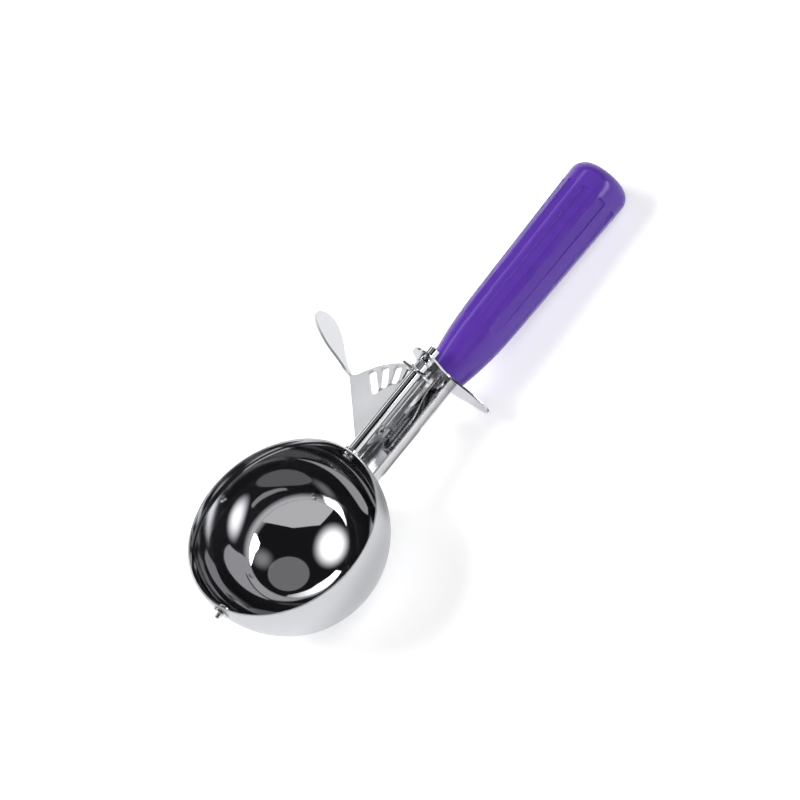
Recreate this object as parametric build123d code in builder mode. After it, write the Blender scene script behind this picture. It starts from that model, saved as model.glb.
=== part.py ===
from build123d import *
import os
from math import atan2, cos, degrees, radians, sin, sqrt, tan

# Thumb-press ice cream disher. Millimetres. +X runs along the drive shaft from the bowl to the handle,
# +Z leaves the bowl's mouth and +Y is the thumb side. The origin is the bowl's centre, on the shaft axis.

os.makedirs("parts", exist_ok=True)

# ---------------------------------------------------------------- driving sizes
RUNNING_GAP = 0.05  # radial gap of every shaft and pin that turns
SEAT_GAP = 0.02  # gap of pieces that are fixed in each other
END_PLAY = 0.05  # play along the axis of every piece that turns
MATCH = 0.01  # edge lengths this close are equal
STEEL = 1.2  # sheet of the lever

# bowl
BOWL_R = 40.0  # outside of the hemisphere
BOWL_WALL = 0.8
RIM_RISE = 4.25  # the rim stands this much above the shaft axis
RIM_ROUND = 0.3

# drive shaft and its bearings
SHAFT_R = 2.35
SHAFT_TAIL = 4.3  # free end behind the guard
SHAFT_CHAMFER = 0.5
SQUARE = 2.6  # square end that drives the blade
BUSH_WALL = 0.9
BUSH_FLANGE = 1.1  # flange thickness
BUSH_LIP = 1.2  # flange width beyond the sleeve
BUSH_CHAMFER = 0.4
GUARD_BUSH = 2.4  # length of the guard bush in front of the guard

# tip pin on the far side of the bowl
PIN_R = 1.2
PIN_TAIL = 3.2  # how far it sticks out of the bowl
PIN_HEAD_R = 2.2
PIN_HEAD = 0.9
PIN_CHAMFER = 0.2

# scraper blade
BLADE_GAP = 0.4  # between blade and bowl
BLADE = 0.7
BLADE_WIDTH = 7.0
BLADE_END_R = 3.3  # rounding of its two eyes
BLADE_PARK = 5.0  # degrees below the shaft plane when parked
BLADE_HOLE_R = 0.8
RETAINER_R = 2.9
RETAINER = 1.6
RETAINER_SEAT = 0.8  # depth of its square hole

# shank channel
CHANNEL_END = 87.6  # back end, where the guard seats
CHANNEL_WIDTH = 16.6
CHANNEL_WALL = 1.0
CHANNEL_TOP = -8.9
CHANNEL_BOTTOM = -16.4
CHANNEL_ROUND = 4.0  # outside radius of its two bends

# lever pivot
PIVOT_R = 1.5
BARREL_R = 2.4
WASHER = 0.4
PIVOT_HEAD_R = 2.7
PIVOT_HEAD = 1.2

# thumb lever: sector plate
PLATE_TOP = -4.15
SECTOR_R = 30.0
SECTOR_TURN = 60.0  # the round edge ends at this angle, degrees from +X
SLOT_COUNT = 5
SLOT_PITCH = 11.5  # degrees between slots
SLOT_FIRST = 2.6  # degrees from the shaft plane to the first slot
SLOT_WIDTH = 3.3
SLOT_EDGE = 1.2  # between the slots and the round edge
SLOT_SHORT = 5.0  # length of the first slot
SLOT_GROWTH = 1.65  # each next slot is longer by this
EDGE_Y = -1.6  # shaft-side edge of the sector
TAB_Y = -3.6  # edge of the flat tab round the pivot
TAB_LENGTH = 2.1  # the tab ends this far behind the pivot
TAIL_X = -7.9  # start of the thumb-side edge, from the pivot
TAIL_Y = 7.0
TAIL_END_X = -5.3  # end of the round tail, from the pivot
TAIL_END_Y = -1.2
TAB_START = -2.4  # the tab begins here, from the pivot
FLANGE = 2.85  # depth of the folded side flanges, from the plate's top
FLANGE_START = 3.0  # from the pivot, clear of its washer
FLANGE_GAP = 2.9  # from its back end to the middle of the pinion
FOLD_R = 0.4
LUG_LENGTH = 2.6  # the lug presses on the spring
LUG_DEPTH = 5.2  # below the plate
LUG_GAP = 0.15  # between lug and spring at rest

# thumb lever: paddle, as reach from the corner and offset to the finger side
CORNER_RISE = 1.23  # the neck's root stands this much outside the round edge
CORNER_TURN = 65.4  # its direction from the pivot, degrees from +X
PADDLE_TURN = 62.4  # direction of the paddle, degrees from +X
PADDLE_TWIST = 60.0  # twist of its face out of the plate, degrees
PADDLE_TIP = (37.3, 0.2)
PADDLE_THUMB_SIDE = [(5.0, -1.9), (15.0, -4.7), (25.0, -6.1)]
PADDLE_FINGER_SIDE = [(5.0, 0.2), (15.0, 2.4), (25.0, 4.8)]
NECK_START = -0.6  # reach where the neck leaves the flange
NECK_FLARE = 0.15  # rise per length where the paddle leaves the neck

# pinion
MESH_DEPTH = 4.1  # from the sector's round edge in to the middle of the pinion
PINION = 2.0
TEETH = 6
TOOTH_R = 7.0
ROOT_R = 3.7
TOOTH_ROOT = 2.5  # tooth width at the root circle
TOOTH_TIP = 0.9
HUB_R = 3.2
HUB_LENGTH = 3.85  # from the middle of the teeth to the washer
PINION_WASHER_R = 3.9

# return spring
SPRING = 0.5
SPRING_TOP = -7.8
SPRING_HEIGHT = 4.4
SPRING_BEND = 3.4  # its bend lies this far in front of the pivot
SPRING_LEAVES = 8.0  # from the pivot, where the back leg leaves the wall
SPRING_WALL_GAP = 0.3
SPRING_BARREL_GAP = 0.25
ANCHOR_X = 81.4
ANCHOR_LENGTH = 5.0
ANCHOR_WIDTH = 2.8
ANCHOR_HEIGHT = 5.0
SPRING_RIVET_R = 0.8
SPRING_HEAD_R = 1.5
SPRING_HEAD = 0.6

# finger guard, outline in Y and Z from above the shaft over the finger wing to the thumb side
GUARD_SHEET = 0.8
GUARD_OUTLINE = [
    (0.0, 5.8),
    (-4.0, 3.7),
    (-5.4, -1.0),
    (-6.6, -6.4),
    (-10.0, -10.0),
    (-14.4, -12.9),
    (-18.6, -16.9),
    (-21.0, -21.4),
    (-19.2, -25.6),
    (-9.5, -26.2),
    (0.0, -25.4),
    (7.0, -21.8),
    (10.4, -14.0),
    (10.3, -6.0),
    (7.9, 0.8),
    (4.3, 4.6),
]

# handle
HANDLE_Z = -14.2
HANDLE_LENGTH = 103.6
HANDLE_FRONT_R = 7.6
HANDLE_SHOULDER = 16.8  # from the front
HANDLE_SHOULDER_R = 10.4
HANDLE_WAIST = 34.8  # from the front, where the long taper starts
HANDLE_WAIST_R = 11.4
HANDLE_END_R = 12.9
HANDLE_END_ROUND = 6.0
HANDLE_FRONT_ROUND = 0.8
HANDLE_FRONT_SLOPE = 0.2  # rise per length where it leaves the guard
FLUTES = 10
FLUTE_WIDTH = 4.2
FLUTE_START = 23.3  # from the handle's front
FLUTE_END = 92.3
FLUTE_FRONT_R = 10.85  # floor at the front end, where the flute runs out
FLUTE_DEPTH = 0.9  # at the back end
FLUTE_CORNER = 1.5
FLUTE_ROUND = 0.6
FLUTE_TURN = 7.5  # degrees from +Y to the first flute

# tang
TANG_WIDTH = 10.0
TANG = 2.0
TANG_START = 68.0
TANG_LENGTH = 96.0
TANG_GAP = 0.1
TANG_CHAMFER = 2.0
TANG_ROUND = 0.8  # lower edges, clear of the channel's bends
TANG_RIVET_R = 1.5
TANG_RIVET_FIRST = 72.0
TANG_RIVET_PITCH = 6.5
TANG_HEAD_R = 2.3
TANG_HEAD = 0.8

# ---------------------------------------------------------------- worked out from them
BOWL_IN = BOWL_R - BOWL_WALL
RIM_R = sqrt(BOWL_R**2 - RIM_RISE**2)
BLADE_OUT = BOWL_IN - BLADE_GAP
BLADE_IN = BLADE_OUT - BLADE
EYE_SEAT = BLADE_IN - 2 * SEAT_GAP - PIN_HEAD_R**2 / (2 * BLADE_IN)
BUSH_IN = BLADE_OUT + BLADE_GAP / 2  # inner end of the bushes in the bowl wall
BUSH_R = SHAFT_R + RUNNING_GAP + BUSH_WALL
CHANNEL_HALF = CHANNEL_WIDTH / 2
CHANNEL_INSIDE = CHANNEL_HALF - CHANNEL_WALL
CHANNEL_FLOOR = CHANNEL_BOTTOM + CHANNEL_WALL
GUARD_BACK = CHANNEL_END + GUARD_SHEET
GUARD_BUSH_X = CHANNEL_END - GUARD_BUSH
WASHER_X = GUARD_BUSH_X - END_PLAY - WASHER  # front of the washer behind the pinion's hub
PINION_X = WASHER_X - HUB_LENGTH  # middle of its thickness
MESH_R = SECTOR_R - MESH_DEPTH
PIVOT_X = PINION_X - MESH_R
SLOT_END_R = SECTOR_R - SLOT_EDGE
CORNER_X = (SECTOR_R + CORNER_RISE) * cos(radians(CORNER_TURN))
CORNER_Y = (SECTOR_R + CORNER_RISE) * sin(radians(CORNER_TURN))
SHAFT_END = GUARD_BACK + SHAFT_TAIL
TANG_TOP = CHANNEL_FLOOR + TANG
PLATE_LOW = PLATE_TOP - STEEL
PLATE_MIDDLE = PLATE_TOP - STEEL / 2
# one tooth stands in the middle of the first slot
TOOTH_PHASE = degrees(atan2(MESH_R * tan(radians(SLOT_FIRST)), -PLATE_MIDDLE)) - 90
SPRING_BEND_X = PIVOT_X - SPRING_BEND
SPRING_LEG_Y = -BARREL_R - SPRING_BARREL_GAP - SPRING / 2  # middle of the straight leg
SPRING_WALL_Y = -CHANNEL_INSIDE + SPRING_WALL_GAP + SPRING / 2  # middle of the back leg at the wall
SPRING_END_Y = SPRING_LEG_Y - SPRING - SEAT_GAP  # middle of the back leg at the anchor
ANCHOR_FACE = SPRING_END_Y - SPRING / 2 - SEAT_GAP
LUG_Y = SPRING_LEG_Y + SPRING / 2 + LUG_GAP
SPRING_MIDDLE = SPRING_TOP - SPRING_HEIGHT / 2
HANDLE_TAPER = (HANDLE_END_R - HANDLE_WAIST_R) / (HANDLE_LENGTH - HANDLE_WAIST)
FLUTE_BACK_R = HANDLE_END_R - HANDLE_TAPER * (HANDLE_LENGTH - FLUTE_END) - FLUTE_DEPTH
FLUTE_LENGTH = FLUTE_END - FLUTE_START


def along_x(x):
    """Plane across the shaft at x, with the sketch's x on +Y and its y on +Z."""
    return Plane.YZ.offset(x)


def dome_head(base, radius, height):
    """Spherical cap that stands on a plane, for use inside a part block."""
    with BuildSketch(Plane(origin=base.origin, x_dir=base.x_dir, z_dir=-base.y_dir)) as half:
        with BuildLine():
            Line((0, 0), (radius, 0))
            TangentArc((0, height), (radius, 0), tangent=(1, 0))
            Line((0, height), (0, 0))
        make_face()
    revolve(half.sketch, axis=Axis(base.origin, base.z_dir))


def shank(base, radius, length):
    """Round shank that stands on a plane, for use inside a part block."""
    with BuildSketch(base) as section:
        Circle(radius)
    extrude(section.sketch, amount=length)


def rivet(base, radius, grip, head_radius, head):
    """Rivet through the grip above a plane, with a domed head on both sides."""
    below = Plane(origin=base.origin, x_dir=base.x_dir, z_dir=-base.z_dir)
    shank(base, radius, grip)
    dome_head(below, head_radius, head)
    dome_head(base.offset(grip), head_radius, head)


def finish(builder, name):
    """Label a piece and write its file."""
    builder.part.label = name
    export_step(builder.part, "parts/" + name + ".step")


# ---------------------------------------------------------------- bowl
with BuildPart() as bowl:
    with BuildSketch(Plane.XZ):
        with BuildLine():
            rim_turn = degrees(atan2(RIM_RISE, RIM_R))
            outside = CenterArc((0, 0), BOWL_R, -90, 90 + rim_turn)
            inside = CenterArc((0, 0), BOWL_IN, -90, 90 + rim_turn)
            Line(outside @ 0, inside @ 0)
            Line(outside @ 1, inside @ 1)
        make_face()
    revolve(axis=Axis.Z)
    fillet(bowl.edges().filter_by_position(Axis.Z, RIM_RISE - BOWL_WALL, RIM_RISE + BOWL_WALL), RIM_ROUND)
    with BuildSketch(along_x(0)):
        Circle(BUSH_R + SEAT_GAP)
    extrude(amount=2 * BOWL_R, mode=Mode.SUBTRACT)
    with BuildSketch(along_x(0)):
        Circle(PIN_R + RUNNING_GAP + BUSH_WALL + SEAT_GAP)
    extrude(amount=-2 * BOWL_R, mode=Mode.SUBTRACT)
finish(bowl, "bowl")


# ---------------------------------------------------------------- bearings
def bowl_bush(bore, side):
    """Flanged bush in the bowl wall; side is +1 at the shaft and -1 at the tip pin."""
    sleeve = bore + BUSH_WALL
    length = BOWL_R + BUSH_FLANGE - BUSH_IN
    with BuildPart() as bush:
        with BuildSketch(along_x(side * (BOWL_R - BUSH_FLANGE))):
            Circle(sleeve + BUSH_LIP)
        extrude(amount=side * 2 * BUSH_FLANGE)
        Sphere(BOWL_R + SEAT_GAP, rotation=(0, 0, 90), mode=Mode.SUBTRACT)
        shank(along_x(side * BUSH_IN), sleeve, side * length)
        with BuildSketch(along_x(side * BUSH_IN)):
            Circle(bore)
        extrude(amount=side * length, mode=Mode.SUBTRACT)
    return bush


finish(bowl_bush(SHAFT_R + RUNNING_GAP, 1), "shaft_bush_bowl")
finish(bowl_bush(PIN_R + RUNNING_GAP, -1), "tip_bush")

with BuildPart() as guard_bush:
    shank(along_x(GUARD_BUSH_X), BUSH_R + BUSH_LIP, GUARD_BUSH)
    chamfer(guard_bush.edges().group_by(Axis.X)[0], BUSH_CHAMFER)
    shank(along_x(GUARD_BUSH_X), BUSH_R, GUARD_BACK - GUARD_BUSH_X)
    with BuildSketch(along_x(GUARD_BUSH_X)):
        Circle(SHAFT_R + RUNNING_GAP)
    extrude(amount=GUARD_BACK - GUARD_BUSH_X, mode=Mode.SUBTRACT)
finish(guard_bush, "shaft_bush_guard")

# ---------------------------------------------------------------- shaft, pinion and washer
with BuildPart() as drive_shaft:
    shank(along_x(BLADE_OUT), SHAFT_R, SHAFT_END - BLADE_OUT)
    chamfer(drive_shaft.edges().group_by(Axis.X)[-1], SHAFT_CHAMFER)
    with BuildSketch(along_x(BLADE_OUT)):
        Rectangle(SQUARE, SQUARE, rotation=-BLADE_PARK)
    extrude(amount=-BLADE - RETAINER_SEAT)
finish(drive_shaft, "drive_shaft")

with BuildPart() as pinion:
    with BuildSketch(along_x(PINION_X - PINION / 2)):
        Circle(ROOT_R)
        with PolarLocations(0, TEETH, start_angle=TOOTH_PHASE):
            Polygon(
                (SHAFT_R, -TOOTH_ROOT / 2),
                (ROOT_R, -TOOTH_ROOT / 2),
                (TOOTH_R, -TOOTH_TIP / 2),
                (TOOTH_R, TOOTH_TIP / 2),
                (ROOT_R, TOOTH_ROOT / 2),
                (SHAFT_R, TOOTH_ROOT / 2),
                align=None,
            )
    extrude(amount=PINION)
    shank(along_x(PINION_X), HUB_R, HUB_LENGTH)
    with BuildSketch(along_x(PINION_X - PINION / 2)):
        Circle(SHAFT_R + SEAT_GAP)
    extrude(amount=HUB_LENGTH + PINION / 2, mode=Mode.SUBTRACT)
finish(pinion, "pinion")

with BuildPart() as pinion_washer:
    with BuildSketch(along_x(WASHER_X)):
        Circle(PINION_WASHER_R)
        Circle(SHAFT_R + SEAT_GAP, mode=Mode.SUBTRACT)
    extrude(amount=WASHER)
finish(pinion_washer, "pinion_washer")

# ---------------------------------------------------------------- scraper blade, its pin and retainer
park = radians(BLADE_PARK)
blade_plane = Plane(origin=(0, 0, 0), x_dir=(1, 0, 0), z_dir=(0, sin(park), cos(park)))
eye_turn = degrees(BLADE_WIDTH / 2 / BLADE_OUT)
blade_start = blade_plane.rotated((0, 0, -eye_turn))
with BuildPart() as scraper_blade:
    with BuildSketch(Plane(origin=(0, 0, 0), x_dir=blade_start.x_dir, z_dir=-blade_start.y_dir)):
        with BuildLine():
            outer = CenterArc((0, 0), BLADE_OUT, -eye_turn, 2 * eye_turn)
            inner = CenterArc((0, 0), BLADE_IN, -eye_turn, 2 * eye_turn)
            Line(outer @ 0, inner @ 0)
            Line(outer @ 1, inner @ 1)
        make_face()
    revolve(axis=Axis((0, 0, 0), blade_plane.z_dir), revolution_arc=180 + 2 * eye_turn)
    fillet(scraper_blade.edges().filter_by(lambda edge: abs(edge.length - BLADE) < MATCH), BLADE_END_R)
    with BuildSketch(along_x(0)):
        Circle(PIN_R + SEAT_GAP)
    extrude(amount=-BOWL_R, mode=Mode.SUBTRACT)
    with BuildSketch(along_x(0)):
        Rectangle(SQUARE + 2 * SEAT_GAP, SQUARE + 2 * SEAT_GAP, rotation=-BLADE_PARK)
    extrude(amount=BOWL_R, mode=Mode.SUBTRACT)
    with BuildSketch(Plane(origin=(0, 0, 0), x_dir=(1, 0, 0), z_dir=blade_plane.y_dir)):
        Circle(BLADE_HOLE_R)
    extrude(amount=BOWL_R, mode=Mode.SUBTRACT)
finish(scraper_blade, "scraper_blade")

with BuildPart() as tip_pin:
    shank(along_x(-BOWL_R - PIN_TAIL), PIN_R, BOWL_R + PIN_TAIL - EYE_SEAT)
    chamfer(tip_pin.edges().group_by(Axis.X)[0], PIN_CHAMFER)
    dome_head(along_x(-EYE_SEAT), PIN_HEAD_R, PIN_HEAD)
finish(tip_pin, "tip_pin")

with BuildPart() as blade_retainer:
    dome_head(Plane(origin=(EYE_SEAT, 0, 0), x_dir=(0, 1, 0), z_dir=(-1, 0, 0)), RETAINER_R, RETAINER)
    with BuildSketch(along_x(EYE_SEAT)):
        Rectangle(SQUARE + 2 * SEAT_GAP, SQUARE + 2 * SEAT_GAP, rotation=-BLADE_PARK)
    extrude(amount=-RETAINER_SEAT, mode=Mode.SUBTRACT)
finish(blade_retainer, "blade_retainer")

# ---------------------------------------------------------------- shank channel
with BuildPart() as shank_channel:
    with BuildSketch(along_x(0)):
        with BuildLine():
            middle = CHANNEL_HALF - CHANNEL_WALL / 2
            floor = CHANNEL_BOTTOM + CHANNEL_WALL / 2
            FilletPolyline(
                (-middle, CHANNEL_TOP),
                (-middle, floor),
                (middle, floor),
                (middle, CHANNEL_TOP),
                radius=CHANNEL_ROUND - CHANNEL_WALL / 2,
            )
        trace(line_width=CHANNEL_WALL)
    extrude(amount=CHANNEL_END)
    Sphere(BOWL_R + SEAT_GAP, rotation=(0, 0, 90), mode=Mode.SUBTRACT)
    with Locations((PIVOT_X, 0, CHANNEL_BOTTOM)):
        Hole(PIVOT_R + SEAT_GAP)
    with Locations(
        (TANG_RIVET_FIRST, 0, CHANNEL_BOTTOM),
        (TANG_RIVET_FIRST + TANG_RIVET_PITCH, 0, CHANNEL_BOTTOM),
    ):
        Hole(TANG_RIVET_R + SEAT_GAP)
finish(shank_channel, "shank_channel")

# ---------------------------------------------------------------- lever pivot
with BuildPart() as pivot_rivet:
    rivet(
        Plane.XY.offset(CHANNEL_BOTTOM).move(Location((PIVOT_X, 0, 0))),
        PIVOT_R,
        PLATE_TOP + END_PLAY - CHANNEL_BOTTOM,
        PIVOT_HEAD_R,
        PIVOT_HEAD,
    )
finish(pivot_rivet, "pivot_rivet")

with BuildPart() as pivot_spacer:
    with BuildSketch(Plane.XY.offset(CHANNEL_FLOOR)):
        with Locations((PIVOT_X, 0)):
            Circle(BARREL_R)
            Circle(PIVOT_R + SEAT_GAP, mode=Mode.SUBTRACT)
    extrude(amount=PLATE_LOW - END_PLAY - WASHER - CHANNEL_FLOOR)
finish(pivot_spacer, "pivot_spacer")

with BuildPart() as pivot_washer:
    with BuildSketch(Plane.XY.offset(PLATE_LOW - END_PLAY - WASHER)):
        with Locations((PIVOT_X, 0)):
            Circle(PIVOT_HEAD_R)
            Circle(PIVOT_R + SEAT_GAP, mode=Mode.SUBTRACT)
    extrude(amount=WASHER)
finish(pivot_washer, "pivot_washer")


# ---------------------------------------------------------------- thumb lever
def paddle_section(reach, twist):
    """Plane across the paddle's neck at a reach from its root, twisted about its length."""
    turn = radians(PADDLE_TURN)
    along = Vector(cos(turn), sin(turn), 0)
    across = Vector(sin(turn), -cos(turn), 0)
    tip = radians(twist)
    root = Vector(PIVOT_X + CORNER_X, CORNER_Y, PLATE_MIDDLE)
    return Plane(
        origin=root + along * reach,
        x_dir=across * cos(tip) - Vector(0, 0, 1) * sin(tip),
        z_dir=along,
    )


root_plane = paddle_section(0, 0)
root_left = root_plane.origin - root_plane.x_dir * STEEL / 2
root_right = root_plane.origin + root_plane.x_dir * STEEL / 2
tail_point = Vector(PIVOT_X + TAIL_X, TAIL_Y, PLATE_MIDDLE)
thumb_edge = (root_left - tail_point).normalized()
edge_reach = sqrt(SECTOR_R**2 - EDGE_Y**2)
with BuildPart() as thumb_lever:
    # pressed sector plate with its slots
    with BuildSketch(Plane.XY.offset(PLATE_LOW)):
        with BuildLine():
            round_edge = CenterArc(
                (PIVOT_X, 0),
                SECTOR_R,
                -degrees(atan2(-EDGE_Y, edge_reach)),
                SECTOR_TURN + degrees(atan2(-EDGE_Y, edge_reach)),
            )
            Line(round_edge @ 1, (root_right.X, root_right.Y))
            Line((root_right.X, root_right.Y), (root_left.X, root_left.Y))
            Line((root_left.X, root_left.Y), (tail_point.X, tail_point.Y))
            tail = TangentArc(
                (tail_point.X, tail_point.Y),
                (PIVOT_X + TAIL_END_X, TAIL_END_Y),
                tangent=(-thumb_edge.X, -thumb_edge.Y),
            )
            Polyline(
                tail @ 1,
                (PIVOT_X + TAB_START, TAB_Y),
                (PIVOT_X + TAB_LENGTH, TAB_Y),
                (PIVOT_X + TAB_LENGTH, EDGE_Y),
                round_edge @ 0,
            )
        make_face()
        for k in range(SLOT_COUNT):
            turn = SLOT_FIRST + k * SLOT_PITCH
            length = SLOT_SHORT + k * SLOT_GROWTH
            reach = SLOT_END_R - length / 2
            with Locations((PIVOT_X + reach * cos(radians(turn)), reach * sin(radians(turn)))):
                SlotOverall(length, SLOT_WIDTH, rotation=turn, mode=Mode.SUBTRACT)
    extrude(amount=STEEL)
    # folded flange beside the shaft
    with BuildSketch(Plane.XY.offset(PLATE_TOP)):
        with Locations((PIVOT_X + FLANGE_START, EDGE_Y)):
            Rectangle(MESH_R - FLANGE_GAP - FLANGE_START, STEEL, align=(Align.MIN, Align.MIN))
    extrude(amount=-FLANGE)
    # folded flange along the thumb side
    with BuildSketch(
        Plane(origin=(tail_point.X, tail_point.Y, PLATE_TOP), x_dir=thumb_edge, z_dir=(0, 0, 1))
    ):
        Rectangle((root_left - tail_point).length, STEEL, align=(Align.MIN, Align.MAX))
    extrude(amount=-FLANGE)
    # rounded folds
    top_edges = thumb_lever.edges().filter_by(GeomType.LINE).filter_by_position(Axis.Z, PLATE_TOP, PLATE_TOP)
    fillet(top_edges.sort_by(SortBy.LENGTH)[-2:], FOLD_R)
    # lug that presses on the spring
    with BuildSketch(Plane.XY.offset(PLATE_LOW)):
        with Locations((PIVOT_X + FLANGE_START, LUG_Y)):
            Rectangle(LUG_LENGTH, EDGE_Y + STEEL - LUG_Y, align=(Align.MIN, Align.MIN))
    extrude(amount=-LUG_DEPTH)
    # neck that carries the thumb-side flange on into the paddle
    neck_end, neck_thumb = PADDLE_THUMB_SIDE[0]
    neck_finger = PADDLE_FINGER_SIDE[0][1]
    with BuildSketch(paddle_section(NECK_START, 90)):
        with Locations(((FLANGE - STEEL) / 2, 0)):
            Rectangle(FLANGE, STEEL)
    with BuildSketch(paddle_section(neck_end, PADDLE_TWIST)):
        with Locations(((neck_thumb + neck_finger) / 2, 0)):
            Rectangle(neck_finger - neck_thumb, STEEL)
    loft()
    # leaf-shaped paddle
    leaf_plane = paddle_section(0, PADDLE_TWIST)
    with BuildSketch(Plane(origin=leaf_plane.origin, x_dir=leaf_plane.z_dir, z_dir=leaf_plane.y_dir)):
        with BuildLine():
            Spline(*PADDLE_THUMB_SIDE, PADDLE_TIP, tangents=[(1, -NECK_FLARE), (0, 1)])
            Spline(*PADDLE_FINGER_SIDE, PADDLE_TIP, tangents=[(1, NECK_FLARE), (0, -1)])
            Line(PADDLE_THUMB_SIDE[0], PADDLE_FINGER_SIDE[0])
        make_face()
    extrude(amount=STEEL / 2, both=True)
    with Locations((PIVOT_X, 0, PLATE_TOP)):
        Hole(PIVOT_R + RUNNING_GAP)
finish(thumb_lever, "thumb_lever")

# ---------------------------------------------------------------- return spring and its anchor
with BuildPart() as return_spring:
    with BuildSketch(Plane.XY.offset(SPRING_TOP - SPRING_HEIGHT)):
        with BuildLine():
            spring_end = ANCHOR_X + ANCHOR_LENGTH
            bend = (SPRING_LEG_Y - SPRING_WALL_Y) / 2
            Line((spring_end, SPRING_LEG_Y), (SPRING_BEND_X, SPRING_LEG_Y))
            CenterArc((SPRING_BEND_X, SPRING_LEG_Y - bend), bend, 90, 180)
            Line((SPRING_BEND_X, SPRING_WALL_Y), (PIVOT_X + SPRING_LEAVES, SPRING_WALL_Y))
            Spline(
                (PIVOT_X + SPRING_LEAVES, SPRING_WALL_Y),
                (ANCHOR_X, SPRING_END_Y),
                tangents=[(1, 0), (1, 0)],
            )
            Line((ANCHOR_X, SPRING_END_Y), (spring_end, SPRING_END_Y))
        trace(line_width=SPRING)
    extrude(amount=SPRING_HEIGHT)
    with BuildSketch(Plane.XZ.offset(-SPRING_LEG_Y - SPRING)):
        with Locations((ANCHOR_X + ANCHOR_LENGTH / 2, SPRING_MIDDLE)):
            Circle(SPRING_RIVET_R + SEAT_GAP)
    extrude(amount=3 * SPRING, mode=Mode.SUBTRACT)
finish(return_spring, "return_spring")

anchor_back = Plane(
    origin=(ANCHOR_X + ANCHOR_LENGTH / 2, ANCHOR_FACE - ANCHOR_WIDTH, SPRING_MIDDLE),
    x_dir=(1, 0, 0),
    z_dir=(0, 1, 0),
)
with BuildPart() as spring_anchor:
    with BuildSketch(Plane.XY.offset(TANG_TOP)):
        with Locations((ANCHOR_X, ANCHOR_FACE)):
            Rectangle(ANCHOR_LENGTH, ANCHOR_WIDTH, align=(Align.MIN, Align.MAX))
    extrude(amount=ANCHOR_HEIGHT)
    with BuildSketch(anchor_back):
        Circle(SPRING_RIVET_R + SEAT_GAP)
    extrude(amount=ANCHOR_WIDTH, mode=Mode.SUBTRACT)
finish(spring_anchor, "spring_anchor")

with BuildPart() as spring_rivet:
    grip = SPRING_LEG_Y + SPRING / 2 - ANCHOR_FACE + ANCHOR_WIDTH
    rivet(anchor_back, SPRING_RIVET_R, grip, SPRING_HEAD_R, SPRING_HEAD)
finish(spring_rivet, "spring_rivet")


# ---------------------------------------------------------------- finger guard
with BuildPart() as finger_guard:
    with BuildSketch(along_x(CHANNEL_END)):
        with BuildLine():
            Spline(*GUARD_OUTLINE, periodic=True)
        make_face()
        Circle(BUSH_R + SEAT_GAP, mode=Mode.SUBTRACT)
        with Locations((0, TANG_TOP - TANG / 2)):
            Rectangle(TANG_WIDTH + 2 * TANG_GAP, TANG + 2 * TANG_GAP, mode=Mode.SUBTRACT)
    extrude(amount=GUARD_SHEET)
finish(finger_guard, "finger_guard")

# ---------------------------------------------------------------- tang, its rivets and the handle
with BuildPart() as handle_tang:
    with BuildSketch(Plane.XY.offset(CHANNEL_FLOOR)) as tang_plan:
        with Locations((TANG_START, 0)):
            Rectangle(TANG_LENGTH, TANG_WIDTH, align=(Align.MIN, Align.CENTER))
        chamfer(tang_plan.vertices().group_by(Axis.X)[-1], TANG_CHAMFER)
    extrude(amount=TANG)
    fillet(handle_tang.edges().filter_by(Axis.X).group_by(Axis.Z)[0], TANG_ROUND)
    with Locations(
        (TANG_RIVET_FIRST, 0, TANG_TOP),
        (TANG_RIVET_FIRST + TANG_RIVET_PITCH, 0, TANG_TOP),
    ):
        Hole(TANG_RIVET_R + SEAT_GAP)
finish(handle_tang, "handle_tang")

with BuildPart() as tang_rivets:
    for x in (TANG_RIVET_FIRST, TANG_RIVET_FIRST + TANG_RIVET_PITCH):
        below_channel = Plane(origin=(x, 0, CHANNEL_BOTTOM), x_dir=(1, 0, 0), z_dir=(0, 0, 1))
        rivet(below_channel, TANG_RIVET_R, TANG_TOP - CHANNEL_BOTTOM, TANG_HEAD_R, TANG_HEAD)
finish(tang_rivets, "tang_rivets")

flute_plane = Plane(
    origin=(GUARD_BACK + FLUTE_START, 0, HANDLE_Z + FLUTE_FRONT_R),
    x_dir=(FLUTE_LENGTH, 0, FLUTE_BACK_R - FLUTE_FRONT_R),
    z_dir=(FLUTE_FRONT_R - FLUTE_BACK_R, 0, FLUTE_LENGTH),
)
with BuildPart() as flute:
    with BuildSketch(flute_plane):
        with Locations((FLUTE_LENGTH / 2, 0)):
            RectangleRounded(FLUTE_LENGTH, FLUTE_WIDTH, FLUTE_CORNER)
    extrude(amount=4 * FLUTE_DEPTH)
    fillet(flute.faces().sort_by(Axis.Z)[0].edges(), FLUTE_ROUND)

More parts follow.
